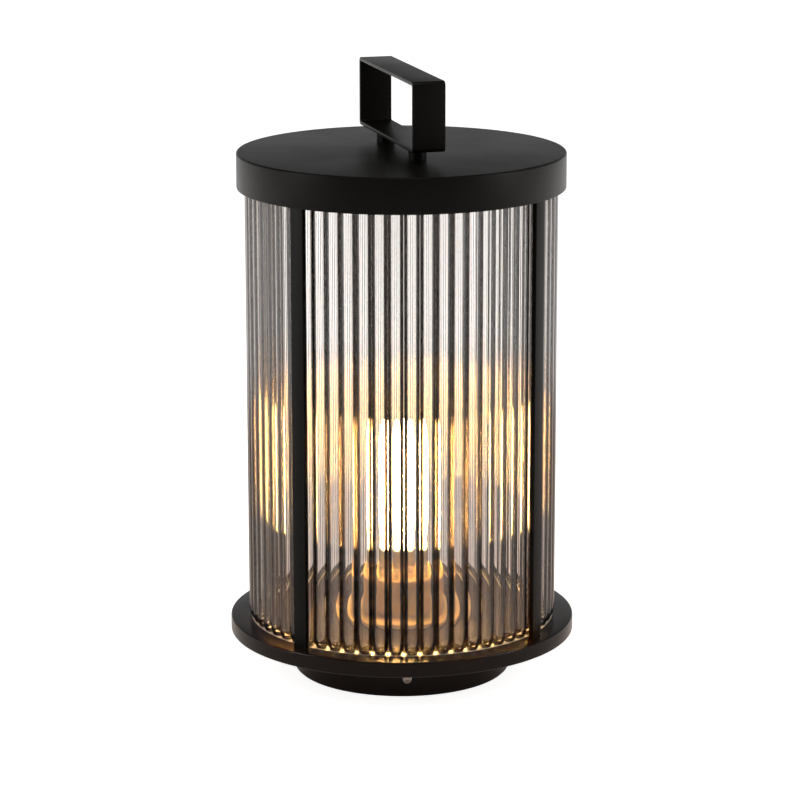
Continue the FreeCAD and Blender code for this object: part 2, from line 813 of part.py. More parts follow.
# --- bulb: blown glass and the glass stem in its neck ---
glass = cell("bulb_glass_radius")
wall = cell("bulb_wall")
neck = bulb_cap_radius - skin - slip_gap
neck_bottom = bulb_cap_top - cell("bulb_neck_depth")
neck_top = bulb_cap_top + wall
crown = bulb_cap_top + cell("bulb_glass_height")
shoulder = bulb_cap_top + cell("bulb_shoulder_rise")
keep(revolved("bulb_glass", [
    (neck - wall, neck_bottom),
    (neck, neck_bottom),
    (neck, neck_top),
    (glass, shoulder),
    (glass, crown - glass),
    (0, crown, glass, 1),
    (0, crown - wall),
    (glass - wall, crown - glass, glass - wall, -1),
    (glass - wall, shoulder),
    (neck - wall, neck_top),
]), "bulb_glass")
filament_foot = shoulder + cell("filament_rise")
glass_stem_top = filament_foot - cell("filament_rise") / 2
flare = neck - wall - slip_gap
keep(revolved("bulb_stem", [
    (0, neck_bottom),
    (flare, neck_bottom),
    (flare, neck_bottom + wall),
    (cell("glass_stem_waist"), neck_bottom + cell("glass_stem_foot")),
    (cell("glass_stem_top"), glass_stem_top),
    (0, glass_stem_top),
]), "bulb_stem")

# --- bulb: filaments round a centre wire, which carries a spider at each of their ends ---
wire = cell("filament_wire").number
filament_count = int(cell("filament_count").number)
first_filament = 45
filament_angles = [first_filament + 360 / filament_count * i for i in range(filament_count)]
filament_circle = cell("filament_circle").number
filament_length = cell("filament_length").number
filament_radius = cell("filament_radius").number
group("bulb_filaments", [
    peg(at(a, filament_circle, filament_foot.number), filament_radius, filament_length)
    for a in filament_angles
])
spider_heights = (filament_foot.number - wire, filament_foot.number + filament_length + wire)
spider = peg(at(0, 0, glass_stem_top.number), 2 * wire, spider_heights[1] + wire - glass_stem_top.number)
for angle in filament_angles:
    for height in spider_heights:
        spider = spider.fuse(peg(at(0, 0, height), wire, filament_circle + wire, direction(angle)))
add_shape("filament_wires", spider.removeSplitter())

# --- cable inlet: a rubber grommet in the drum's wall ---
grommet_neck = cell("grommet_neck").number
lip = cell("grommet_lip").number
flange = cell("grommet_flange").number
inlet_out = direction(inlet_angle)
slack = cell("grommet_slack").number
inside = at(inlet_angle, drum_inner.number - lip - slack, inlet_height)
grommet_length = drum_wall.number + 2 * (lip + slack)
grommet = peg(inside, grommet_neck, grommet_length, inlet_out)
grommet = grommet.fuse(peg(inside, flange, lip, inlet_out))
grommet = grommet.fuse(peg(inside + inlet_out * (grommet_length - lip), flange, lip, inlet_out))
grommet = grommet.cut(drill(inside, cell("inlet_bore").number, grommet_length, inlet_out))
add_shape("cable_grommet", grommet.removeSplitter())

# --- terminal block under the underplate, with a wire bore and a screw well for each pole ---
pole_count = int(cell("terminal_poles").number)
terminal_length = cell("terminal_length").number
terminal_depth = cell("terminal_depth").number
terminal_height = cell("terminal_height").number
terminal_offset = cell("terminal_offset").number
terminal_bottom = plate_bottom.number - terminal_height
terminal = block(inlet_angle, terminal_offset, terminal_bottom, terminal_length, terminal_depth,
                 terminal_height)
for pole in range(pole_count):
    across = FreeCAD.Vector(((pole + 0.5) / pole_count - 0.5) * terminal_length, 0, 0)
    entry = across + at(inlet_angle, terminal_offset, plate_bottom.number - terminal_height / 2)
    well = across + at(inlet_angle, terminal_offset + terminal_depth / 2, terminal_bottom)
    terminal = terminal.cut(drill(entry, cell("terminal_bore").number, terminal_depth, inlet_out))
    terminal = terminal.cut(peg(well, cell("terminal_well").number, terminal_height / 2))
add_shape("terminal_block", terminal)

doc.recompute()

# Every object has to be sound before anything is written.
for thing in doc.Objects:
    if "Invalid" in thing.State or "Error" in thing.State:
        raise RuntimeError(f"{thing.Label} did not build: {thing.State}")
for piece in nodes:
    if piece.Shape.isNull() or not piece.Shape.isValid():
        raise RuntimeError(f"{piece.Label} has no sound shape")
for piece in nodes:
    piece.Shape.exportStep(f"parts/{piece.Label}.step")
    print(piece.Label, len(piece.Shape.Solids), round(piece.Shape.Volume / 1000, 3))
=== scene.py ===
import json
import math

import bmesh
import bpy
from mathutils import Matrix, Vector


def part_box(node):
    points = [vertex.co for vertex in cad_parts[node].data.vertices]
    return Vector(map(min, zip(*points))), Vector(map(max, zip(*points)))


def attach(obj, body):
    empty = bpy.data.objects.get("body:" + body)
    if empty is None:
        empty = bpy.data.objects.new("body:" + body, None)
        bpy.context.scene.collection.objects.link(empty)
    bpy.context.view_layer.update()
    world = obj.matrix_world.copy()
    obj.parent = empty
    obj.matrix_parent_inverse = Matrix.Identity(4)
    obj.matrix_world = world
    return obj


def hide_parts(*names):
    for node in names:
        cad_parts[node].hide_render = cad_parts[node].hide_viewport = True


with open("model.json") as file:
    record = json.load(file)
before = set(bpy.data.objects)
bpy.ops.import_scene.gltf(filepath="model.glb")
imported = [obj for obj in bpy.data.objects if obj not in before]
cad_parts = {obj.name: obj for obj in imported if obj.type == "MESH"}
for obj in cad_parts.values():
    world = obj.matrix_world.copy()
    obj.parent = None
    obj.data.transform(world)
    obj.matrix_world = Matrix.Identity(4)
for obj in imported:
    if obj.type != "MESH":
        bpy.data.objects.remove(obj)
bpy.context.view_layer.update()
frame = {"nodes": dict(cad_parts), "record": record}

nodes = frame["nodes"]
record = frame["record"]
mm = 0.001
onAxis = 1e-7  # metres between points that meet on a turning axis or where a turn closes


def srgb(hexText, alpha=1.0):
    # a hex colour as the linear values that the shaders take
    parts = [int(hexText[i:i + 2], 16) / 255 for i in (1, 3, 5)]
    return [p / 12.92 if p <= 0.04045 else ((p + 0.055) / 1.055) ** 2.4 for p in parts] + [alpha]


def addNode(tree, kind, settings=None, **links):
    # a node with its properties, its input values and its incoming links
    node = tree.nodes.new(kind)
    for key, value in (settings or {}).items():
        if isinstance(key, str) and hasattr(node, key):
            setattr(node, key, value)
        else:
            node.inputs[key].default_value = value
    for key, source in links.items():
        name = key.replace("_", " ")
        target = node.inputs[int(key[1:])] if key[0] == "i" and key[1:].isdigit() else node.inputs[name]
        tree.links.new(source, target)
    return node


def newMaterial(name):
    # an empty material with its output and the piece's own coordinates, in metres
    material = bpy.data.materials.new(name)
    material.use_nodes = True
    material.node_tree.nodes.clear()
    tree = material.node_tree
    output = tree.nodes.new("ShaderNodeOutputMaterial")
    coords = tree.nodes.new("ShaderNodeTexCoord")
    return material, tree, output, coords.outputs["Object"]


# the real grains are about 0.1 mm and are drawn coarser, so that they show
powder = {
    "capColor": "#0e0c09", "capRoughness": 0.42, "capGloss": 0.12,
    "capGrain": 1.5 * mm, "capDepth": 0.17 * mm,
    "baseColor": "#180f0c", "baseRoughness": 0.2, "baseGloss": 0.16,
    "baseGrain": 1.6 * mm, "baseDepth": 0.012 * mm,
    "ior": 1.5, "grainDetail": 2.0, "grainRoughness": 0.6, "drift": 55.556 * mm, "driftDetail": 3.0,
    "glossier": 0.05, "duller": 0.07,
}


def powderCoat(name, color, roughness, gloss, grain, depth):
    # epoxy powder baked on steel: an orange-peel skin that breaks up its soft highlights
    material, tree, output, place = newMaterial(name)
    peel = addNode(tree, "ShaderNodeTexNoise", {"Scale": 1 / grain, "Detail": powder["grainDetail"],
                                                "Roughness": powder["grainRoughness"]}, Vector=place)
    drift = addNode(tree, "ShaderNodeTexNoise",
                    {"Scale": 1 / powder["drift"], "Detail": powder["driftDetail"]}, Vector=place)
    rough = addNode(tree, "ShaderNodeMapRange", {"To Min": roughness - powder["glossier"],
                                                 "To Max": roughness + powder["duller"]},
                    Value=drift.outputs["Fac"])
    bump = addNode(tree, "ShaderNodeBump", {"Distance": depth}, Height=peel.outputs["Fac"])
    shader = addNode(tree, "ShaderNodeBsdfPrincipled",
                     {"Base Color": srgb(color), "IOR": powder["ior"], "Specular IOR Level": gloss},
                     Roughness=rough.outputs["Result"], Normal=bump.outputs["Normal"])
    tree.links.new(shader.outputs["BSDF"], output.inputs["Surface"])
    return material


# the real tool lines are finer and are drawn coarser, so that they show
metal = {"lines": 1.1111 * mm, "detail": 3.0, "glossier": 0.06, "duller": 0.1}


def workedMetal(name, color, roughness, brush=0.0, stretch=(1, 1, 1)):
    # bare or plated metal: faint lines along the way it was turned, rolled or drawn
    material, tree, output, place = newMaterial(name)
    spread = addNode(tree, "ShaderNodeMapping", {"Scale": stretch}, Vector=place)
    lines = addNode(tree, "ShaderNodeTexNoise", {"Scale": 1 / metal["lines"], "Detail": metal["detail"]},
                    Vector=spread.outputs["Vector"])
    rough = addNode(tree, "ShaderNodeMapRange", {"To Min": roughness - metal["glossier"],
                                                 "To Max": roughness + metal["duller"]},
                    Value=lines.outputs["Fac"])
    bump = addNode(tree, "ShaderNodeBump", {"Distance": brush}, Height=lines.outputs["Fac"])
    shader = addNode(tree, "ShaderNodeBsdfPrincipled", {"Base Color": srgb(color), "Metallic": 1.0},
                     Roughness=rough.outputs["Result"], Normal=bump.outputs["Normal"])
    tree.links.new(shader.outputs["BSDF"], output.inputs["Surface"])
    return material


skin = {"ior": 1.5, "detail": 2.0, "spread": 0.05}


def mouldedSkin(name, color, roughness, grain, depth):
    # moulded, glazed or lacquered: an even colour under a soft skin
    material, tree, output, place = newMaterial(name)
    grains = addNode(tree, "ShaderNodeTexNoise", {"Scale": 1 / grain, "Detail": skin["detail"]}, Vector=place)
    bump = addNode(tree, "ShaderNodeBump", {"Distance": depth}, Height=grains.outputs["Fac"])
    rough = addNode(tree, "ShaderNodeMapRange", {"To Min": roughness - skin["spread"],
                                                 "To Max": roughness + skin["spread"]},
                    Value=grains.outputs["Fac"])
    shader = addNode(tree, "ShaderNodeBsdfPrincipled", {"Base Color": srgb(color), "IOR": skin["ior"]},
                     Roughness=rough.outputs["Result"], Normal=bump.outputs["Normal"])
    tree.links.new(shader.outputs["BSDF"], output.inputs["Surface"])
    return material


# edge: the near-black of the painted shade along the tubes' sides
glass = {
    "clear": "#fefdfc", "edge": "#0d0806", "blend": 0.5, "shadeStart": 0.22, "shadeEnd": 0.33, "ior": 1.47,
    "drawLines": 3.0 * mm, "lineDetail": 1.0, "lineStretch": 0.02, "drawDepth": 0.006 * mm,
}


def drawnGlass(name):
    # drawn tubing: faint lengthwise lines, clear in the middle, with painted shade that darkens it where its
    # wall is seen edge on
    material, tree, output, place = newMaterial(name)
    along = addNode(tree, "ShaderNodeMapping", {"Scale": (1.0, 1.0, glass["lineStretch"])}, Vector=place)
    lines = addNode(tree, "ShaderNodeTexNoise",
                    {"Scale": 1 / glass["drawLines"], "Detail": glass["lineDetail"]},
                    Vector=along.outputs["Vector"])
    bump = addNode(tree, "ShaderNodeBump", {"Distance": glass["drawDepth"]}, Height=lines.outputs["Fac"])
    slant = addNode(tree, "ShaderNodeLayerWeight", {"Blend": glass["blend"]})
    # painted shade: the tube's colour goes towards near-black at its sides
    edge = addNode(tree, "ShaderNodeMapRange", {"interpolation_type": "SMOOTHSTEP",
                                                "From Min": glass["shadeStart"], "From Max": glass["shadeEnd"]},
                   Value=slant.outputs["Facing"])
    edgeShade = addNode(tree, "ShaderNodeMix",
                   {"data_type": "RGBA", 6: srgb(glass["clear"]), 7: srgb(glass["edge"])},
                   Factor=edge.outputs["Result"])
    shader = addNode(tree, "ShaderNodeBsdfPrincipled",
                     {"Roughness": 0.0, "IOR": glass["ior"], "Transmission Weight": 1.0},
                     Base_Color=edgeShade.outputs[2], Normal=bump.outputs["Normal"])
    tree.links.new(shader.outputs["BSDF"], output.inputs["Surface"])
    return material


bulb = {
    "color": "#fff6e6", "glow": "#ffcf80", "strength": 140.0, "neckShare": 0.5,
    "neck": 90 * mm, "full": 115 * mm,
    "roughness": 0.35, "ior": 1.5, "clearness": 0.6,
}


def frostedBulb(name):
    # blown glass, frosted inside: all of it lights up, less towards its neck
    material, tree, output, place = newMaterial(name)
    split = addNode(tree, "ShaderNodeSeparateXYZ", Vector=place)
    rise = addNode(tree, "ShaderNodeMapRange", {"From Min": bulb["neck"], "From Max": bulb["full"],
                                                "To Min": bulb["strength"] * bulb["neckShare"],
                                                "To Max": bulb["strength"]}, Value=split.outputs["Z"])
    shader = addNode(tree, "ShaderNodeBsdfPrincipled",
                     {"Base Color": srgb(bulb["color"]), "Roughness": bulb["roughness"], "IOR": bulb["ior"],
                      "Transmission Weight": bulb["clearness"], "Emission Color": srgb(bulb["glow"])},
                     Emission_Strength=rise.outputs["Result"])
    tree.links.new(shader.outputs["BSDF"], output.inputs["Surface"])
    return material


filament = {
    "color": "#ffc46a", "strength": 120.0, "uneven": 0.1, "grain": 0.7143 * mm, "grainDetail": 1.0,
    "roughness": 0.5,
}


def phosphorFilament(name):
    # phosphor-coated filament: a warm glow with brighter and darker grains
    material, tree, output, place = newMaterial(name)
    color, strength, uneven = srgb(filament["color"]), filament["strength"], filament["uneven"]
    grains = addNode(tree, "ShaderNodeTexNoise",
                     {"Scale": 1 / filament["grain"], "Detail": filament["grainDetail"]}, Vector=place)
    power = addNode(tree, "ShaderNodeMapRange", {"To Min": strength * (1 - uneven),
                                                 "To Max": strength * (1 + uneven)},
                    Value=grains.outputs["Fac"])
    shader = addNode(tree, "ShaderNodeBsdfPrincipled",
                     {"Base Color": color, "Roughness": filament["roughness"], "Emission Color": color},
                     Emission_Strength=power.outputs["Result"])
    tree.links.new(shader.outputs["BSDF"], output.inputs["Surface"])
    return material


finishes = {
    # fine-grained and almost black, glinting at its edges
    "powder_black": powderCoat("blackPowderCoatedSteel", powder["capColor"], powder["capRoughness"],
                               powder["capGloss"], powder["capGrain"], powder["capDepth"]),
    # smoother and browner, so that it mirrors the tubes' feet
    "powder_umber": powderCoat("umberPowderCoatedSteel", powder["baseColor"], powder["baseRoughness"],
                               powder["baseGloss"], powder["baseGrain"], powder["baseDepth"]),
    # pale bare metal instead of the umber paint, so that the head shows a small bright oval: a painted
    # highlight
    "highlight_head": workedMetal("paleHighlightScrewHead", "#a39a94", roughness=0.2, brush=0.002 * mm),
    "clear_glass": drawnGlass("drawnBorosilicateGlass"),
    "bulb_glass": frostedBulb("frostedBlownGlass"),
    # cool grey with a dull sheen
    "zinc_steel": workedMetal("zincPlatedSteel", "#b4b6b8", roughness=0.32, brush=0.004 * mm),
    # pale, with rings left by the lathe
    "frame_aluminium": workedMetal("turnedAluminium", "#c9cacc", roughness=0.34, brush=0.004 * mm,
                                   stretch=(1, 1, 8)),
    # pale gold that catches the bulb's light
    "satin_stand": mouldedSkin("satinChampagneLacquer", "#e3c594", roughness=0.34, grain=0.9 * mm,
                               depth=0.006 * mm),
    # matt and slightly grained
    "black_rubber": mouldedSkin("blackMouldedRubber", "#161616", roughness=0.7, grain=0.6 * mm,
                                depth=0.03 * mm),
    # milky and soft
    "clear_silicone": mouldedSkin("clearMouldedSilicone", "#cfcac2", roughness=0.45, grain=0.9 * mm,
                                  depth=0.01 * mm),
    # off-white under a wet-looking glaze
    "holder_bakelite": mouldedSkin("glazedPorcelain", "#e6dfd0", roughness=0.2, grain=1.2 * mm,
                                   depth=0.01 * mm),
    # plain white, neither matt nor shiny
    "white_plastic": mouldedSkin("whiteMouldedPolyamide", "#e4e2dc", roughness=0.45, grain=0.8 * mm,
                                 depth=0.01 * mm),
    # yellow and bright from the press
    "brass": workedMetal("stampedBrass", "#d8ae5e", roughness=0.25, brush=0.002 * mm),
    # warm silver, bright on the thread's crests
    "nickel": workedMetal("rolledNickelPlatedBrass", "#cfccc6", roughness=0.22, brush=0.002 * mm),
    "filament": phosphorFilament("phosphorFilament"),
    # thin grey wire
    "filament_wire": workedMetal("drawnNickelWire", "#b9b4aa", roughness=0.25),
}
print("materials ready:", len(finishes))

for part in record["subparts"]:
    surfaces = nodes[part["node"]].data.materials
    surfaces.clear()
    surfaces.append(finishes[part["material_slot"]])
print("nodes dressed:", len(record["subparts"]))


def arcPoints(radius, height, size, first, last, steps):
    # points of a rounded corner, from one angle to another round its own centre
    turns = [math.radians(first + (last - first) * i / steps) for i in range(steps + 1)]
    return [(radius + size * math.cos(t), height + size * math.sin(t)) for t in turns]


def spinOutline(outline, steps, closed=True):
    # an outline of radii and heights, turned once round the upright axis
    mesh = bmesh.new()
    verts = [mesh.verts.new((r, 0, z)) for r, z in outline]
    pairs = zip(verts, verts[1:] + verts[:1]) if closed else zip(verts, verts[1:])
    edges = [mesh.edges.new(pair) for pair in pairs]
    bmesh.ops.spin(mesh, geom=verts + edges, axis=(0, 0, 1), cent=(0, 0, 0), angle=2 * math.pi, steps=steps,
                   use_merge=True)
    bmesh.ops.remove_doubles(mesh, verts=mesh.verts, dist=onAxis)
    return mesh


def wayOut(degrees):
    # the level direction at an angle from the handle's near end
    return Vector((math.sin(math.radians(degrees)), -math.cos(math.radians(degrees)), 0))


def addCopy(target, source, matrix):
    # one more small piece, put in its place in a mesh of several
    bmesh.ops.transform(source, matrix=matrix, verts=source.verts)
    part = bpy.data.meshes.new("copy")
    source.to_mesh(part)
    source.free()
    target.from_mesh(part)
    bpy.data.meshes.remove(part)


def addPiece(name, mesh, replaced, slot, body="lamp", finish=None):
    # the mesh as an object on its body, in its slot's finish unless another is named
    data = bpy.data.meshes.new(name)
    mesh.to_mesh(data)
    mesh.free()
    piece = bpy.data.objects.new(name, data)
    bpy.context.scene.collection.objects.link(piece)
    data.materials.append(finishes[finish or slot])
    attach(piece, body)
    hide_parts(replaced)


finishing = {"doubles": 1e-6, "crease": 35}  # metres between merged points, degrees of a sharp edge


def finishPiece(name, mesh, replaced, slot, body="lamp", finish=None):
    # a made mesh as a piece of the lamp, smooth except along its creases
    bmesh.ops.remove_doubles(mesh, verts=mesh.verts, dist=finishing["doubles"])
    bmesh.ops.recalc_face_normals(mesh, faces=mesh.faces)
    crease = math.radians(finishing["crease"])
    for edge in mesh.edges:
        edge.smooth = len(edge.link_faces) == 2 and edge.calc_face_angle(0) < crease
    for face in mesh.faces:
        face.smooth = True
    addPiece(name, mesh, replaced, slot, body, finish)


tubes = {
    "count": 60, "firstTurn": -45, "sides": 32, "circle": 114.1 * mm, "radius": 5.9 * mm, "wall": 1.3 * mm,
    "tip": 3.0 * mm, "taper": 8.0 * mm, "taperSteps": 6, "lip": 0.4 * mm, "ease": 3.0 * mm, "flatFrom": 0.98,
    "groups": ("glass_tubes_front", "glass_tubes_right", "glass_tubes_rear", "glass_tubes_left"),
}


def bulletCurve(low, tip, radius, rise):
    # a drawn-in end, from its small flat up to the full radius
    steps = tubes["taperSteps"]
    turns = [math.pi / 2 * i / steps for i in range(steps + 1)]
    return [(tip + (radius - tip) * math.sin(t), low + rise * (1 - math.cos(t))) for t in turns]


def tubeOutline(low, high):
    # from the centre of the foot up the outside, over the lip and down the bore
    wide, wall, lip = tubes["radius"], tubes["wall"], tubes["lip"]
    bore = wide - wall
    # two more rings near the ends keep the long wall's shading straight
    ends = (low + tubes["taper"] + tubes["ease"], high - lip - tubes["ease"])
    outer = bulletCurve(low, tubes["tip"], wide, tubes["taper"])
    inner = bulletCurve(low + wall, tubes["tip"] - wall / 2, bore, tubes["taper"])
    rim = [(wide, high - lip), (wide - lip, high), (bore + lip, high), (bore, high - lip)]
    walls = [(wide, ends[0]), (wide, ends[1])] + rim + [(bore, ends[1]), (bore, ends[0] + wall)]
    return [(0.0, low)] + outer + walls + inner[::-1] + [(0.0, low + wall)]


def makeTubes(name, first, last):
    # a quarter of the ring: hollow tubes, each closed at its drawn-in foot
    low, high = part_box(name)
    pitch = 360 / tubes["count"]
    mesh = bmesh.new()
    for index in range(first, last):
        tube = spinOutline(tubeOutline(low[2], high[2]), tubes["sides"], closed=False)
        bmesh.ops.recalc_face_normals(tube, faces=tube.faces)
        out = wayOut(tubes["firstTurn"] + (index + 0.5) * pitch)
        addCopy(mesh, tube, Matrix.Translation(out * tubes["circle"]))
    for face in mesh.faces:
        face.smooth = abs(face.normal.z) < tubes["flatFrom"]
    addPiece(name.replace("glass_tubes", "drawnTubes"), mesh, name, "clear_glass")


for part, name in enumerate(tubes["groups"]):
    quarter = tubes["count"] // len(tubes["groups"])
    makeTubes(name, part * quarter, (part + 1) * quarter)
print("glass tubes made:", tubes["count"])

cap = {"wall": 1.2 * mm, "round": 1.6 * mm, "hem": 0.4 * mm, "steps": 192, "cornerSteps": 6, "hemSteps": 3}


def makeCap():
    # a shallow spun pan turned over, its rim edge broken
    low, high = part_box("cap_shell")
    wide, wall, size, hem = high[0], cap["wall"], cap["round"], cap["hem"]
    outline = [(0.0, high[2])] + arcPoints(wide - size, high[2] - size, size, 90, 0, cap["cornerSteps"])
    outline += arcPoints(wide - hem, low[2] + hem, hem, 0, -90, cap["hemSteps"]) + [(wide - wall, low[2])]
    outline += arcPoints(wide - size, high[2] - size, size - wall, 0, 90, cap["hemSteps"])
    outline += [(0.0, high[2] - wall)]
    finishPiece("capPan", spinOutline(outline, cap["steps"], closed=False), "cap_shell", "powder_black")


plate = {
    "rim": 2.5 * mm, "wall": 3.0 * mm, "round": 1.2 * mm, "grooveDepth": 1.6 * mm, "grooveHalf": 4.6 * mm,
    "grooveEdge": 0.4 * mm, "steps": 192, "cornerSteps": 5,
}


def makePlate():
    # the pressed tray of the base, turned over, with the groove that the tubes' seat lies in
    low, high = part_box("base_plate")
    wide, size, steps = high[0], plate["round"], plate["cornerSteps"]
    floor, edge = high[2] - plate["grooveDepth"], plate["grooveEdge"]
    outer, inner = tubes["circle"] + plate["grooveHalf"], tubes["circle"] - plate["grooveHalf"]
    ceiling = high[2] - plate["wall"]
    outline = [(0.0, ceiling), (wide - plate["rim"], ceiling), (wide - plate["rim"], low[2])]
    outline += arcPoints(wide - size, low[2] + size, size, -90, 0, steps)
    outline += arcPoints(wide - size, high[2] - size, size, 0, 90, steps)
    outline += [(outer + edge, high[2]), (outer, high[2] - edge), (outer, floor), (inner, floor),
                (inner, high[2] - edge), (inner - edge, high[2]), (0.0, high[2])]
    finishPiece("baseTray", spinOutline(outline, plate["steps"], closed=False), "base_plate", "powder_umber")


stand = {
    "bore": 5.1 * mm, "edge": 0.6 * mm, "wall": 1.2 * mm, "round": 4.0 * mm, "steps": 96, "edgeSteps": 4,
    "bendSteps": 6,
}


def makeStand():
    # a flat disc and a drawn cup with a rolled rim, which carry the lampholder
    low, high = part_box("holder_disc")
    bore, edge, steps = stand["bore"], stand["edge"], stand["bendSteps"]
    disc = [(bore, low[2]), (high[0], low[2])]
    disc += arcPoints(high[0] - edge, high[2] - edge, edge, 0, 90, stand["edgeSteps"]) + [(bore, high[2])]
    finishPiece("standDisc", spinOutline(disc, stand["steps"]), "holder_disc", "satin_stand")
    low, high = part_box("holder_cup")
    wide, size, wall = high[0], stand["round"], stand["wall"]
    cup = [(bore, low[2])] + arcPoints(wide - size, low[2] + size, size, -90, 0, steps)
    cup += arcPoints(wide - wall / 2, high[2] - wall / 2, wall / 2, 0, 180, steps)
    cup += arcPoints(wide - size, low[2] + size, size - wall, 0, -90, steps) + [(bore, low[2] + wall)]
    finishPiece("standCup", spinOutline(cup, stand["steps"]), "holder_cup", "satin_stand")


foot = {"width": 7.0 * mm, "ribs": 3, "ribDepth": 0.5 * mm, "steps": 128}


def makeFoot():
    # the rubber foot, with turned grooves on the side that stands on the floor
    low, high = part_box("rubber_foot_ring")
    bands = 2 * foot["ribs"] + 1
    inner, pitch = high[0] - foot["width"], foot["width"] / bands
    outline = [(inner, high[2])]
    for band in range(bands):
        rise = low[2] + foot["ribDepth"] * (band % 2)
        outline += [(inner + band * pitch, rise), (inner + (band + 1) * pitch, rise)]
    outline += [(high[0], high[2])]
    finishPiece("ribbedFoot", spinOutline(outline, foot["steps"]), "rubber_foot_ring", "black_rubber")


easing = {"segments": 3, "profile": 0.5, "affect": "EDGES", "material": -1, "offset_type": "OFFSET"}
handle = {
    "strip": 3.0 * mm, "bend": 3.6 * mm, "innerBend": 1.4 * mm, "edge": 0.45 * mm, "bendSteps": 6,
    "sharpFrom": 60,
}


def bentBox(left, right, bottom, top, radius):
    # a rectangle with round corners, in the plane across the handle
    corners = ((right, bottom, -90), (right, top, 0), (left, top, 90), (left, bottom, 180))
    points = []
    for y, z, start in corners:
        inY = y - radius if y == right else y + radius
        inZ = z + radius if z == bottom else z - radius
        points += arcPoints(inY, inZ, radius, start, start + 90, handle["bendSteps"])
    return points


def makeHandle():
    # flat bar bent into a loop, its long edges eased
    low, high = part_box("handle_loop")
    mesh = bmesh.new()
    rings = []
    for inset, radius in ((0.0, handle["bend"]), (handle["strip"], handle["innerBend"])):
        outline = bentBox(low[1] + inset, high[1] - inset, low[2] + inset, high[2] - inset, radius)
        verts = [mesh.verts.new((low[0], y, z)) for y, z in outline]
        rings += [mesh.edges.new(pair) for pair in zip(verts, verts[1:] + verts[:1])]
    bmesh.ops.bridge_loops(mesh, edges=rings)
    side = bmesh.ops.extrude_face_region(mesh, geom=mesh.faces[:])
    moved = [item for item in side["geom"] if isinstance(item, bmesh.types.BMVert)]
    bmesh.ops.translate(mesh, verts=moved, vec=(high[0] - low[0], 0, 0))
    bmesh.ops.recalc_face_normals(mesh, faces=mesh.faces)
    sharp = [edge for edge in mesh.edges if edge.calc_face_angle(0) > math.radians(handle["sharpFrom"])]
    bmesh.ops.bevel(mesh, geom=sharp, offset=handle["edge"], **easing)
    finishPiece("bentHandle", mesh, "handle_loop", "powder_black")


# the angles are degrees from the handle's near end, as the photograph shows the two in front
posts = {
    "width": 12.0 * mm, "thickness": 3.8 * mm, "edge": 0.5 * mm, "circle": 122.57 * mm,
    "angles": {"post_front_left": -54.4, "post_front_right": 40.7,
               "post_rear_right": 125.6, "post_rear_left": 220.7},
}


def makePost(name, angle):
    # a cut length of flat bar with eased edges, upright at its place on the ring
    low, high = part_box(name)
    turn = Matrix.Rotation(math.radians(angle), 3, "Z")
    mesh = bmesh.new()
    bmesh.ops.create_cube(mesh, size=1.0)
    bmesh.ops.scale(mesh, verts=mesh.verts, vec=(posts["width"], posts["thickness"], high[2] - low[2]))
    bmesh.ops.bevel(mesh, geom=mesh.edges[:], offset=posts["edge"], **easing)
    bmesh.ops.translate(mesh, verts=mesh.verts, vec=(0, -posts["circle"], (low[2] + high[2]) / 2))
    bmesh.ops.rotate(mesh, verts=mesh.verts, cent=(0, 0, 0), matrix=turn)
    finishPiece(name.replace("post_", "barPost_"), mesh, name, "powder_black")


screws = {"count": 3, "sides": 36, "dome": 0.55, "domeTurns": (0.0, 0.35, 0.7, 1.05), "socketSides": 6}
drumScrew = {
    "head": 3.6 * mm, "headHeight": 1.8 * mm, "shank": 2.0 * mm, "length": 5.0 * mm, "socket": 1.35 * mm,
    "socketDepth": 1.0 * mm, "firstTurn": -13.1, "rise": 14.5 * mm,
}
coverScrew = {
    "head": 2.8 * mm, "headHeight": 1.2 * mm, "shank": 1.5 * mm, "length": 9.0 * mm, "socket": 1.0 * mm,
    "socketDepth": 0.7 * mm, "firstTurn": 90, "circle": 60.0 * mm,
}


def screwMesh(size):
    # a domed head with a six-sided socket, its top at zero and its shank downwards
    head, height, foot = size["head"], size["headHeight"], -size["headHeight"] - size["length"]
    dome = [(head * math.cos(t), -height * screws["dome"] * (1 - math.sin(t))) for t in screws["domeTurns"]]
    turned = [(0.0, foot), (size["shank"], foot), (size["shank"], -height), (head, -height)] + dome
    mesh = spinOutline(turned, screws["sides"], closed=False)
    face = dome[-1][1]
    count = screws["socketSides"]
    hexagon = bmesh.ops.create_circle(mesh, cap_ends=False, segments=count,
                                      radius=size["socket"] / math.cos(math.pi / count),
                                      matrix=Matrix.Translation((0, 0, face)))
    sides = list({edge for vert in hexagon["verts"] for edge in vert.link_edges})
    bmesh.ops.subdivide_edges(mesh, edges=sides, cuts=screws["sides"] // count - 1)
    bmesh.ops.bridge_loops(mesh, edges=[edge for edge in mesh.edges if len(edge.link_faces) < 2])
    wall = bmesh.ops.extrude_edge_only(mesh, edges=[edge for edge in mesh.edges if edge.is_boundary])
    moved = [item for item in wall["geom"] if isinstance(item, bmesh.types.BMVert)]
    bmesh.ops.translate(mesh, verts=moved, vec=(0, 0, -size["socketDepth"] - face))
    bmesh.ops.edgeloop_fill(mesh, edges=[edge for edge in mesh.edges if edge.is_boundary])
    return mesh


def makeDrumScrews():
    # round the drum, pointing outwards
    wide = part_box("base_drum")[1][0]
    mesh = bmesh.new()
    for i in range(screws["count"]):
        out = wayOut(drumScrew["firstTurn"] + 360 / screws["count"] * i)
        place = out * (wide + drumScrew["headHeight"]) + Vector((0, 0, drumScrew["rise"]))
        aim = out.to_track_quat("Z", "Y").to_matrix().to_4x4()
        addCopy(mesh, screwMesh(drumScrew), Matrix.Translation(place) @ aim)
    # the heads in pale bare metal: a painted highlight
    finishPiece("drumScrews", mesh, "drum_screws", "powder_umber", finish="highlight_head")


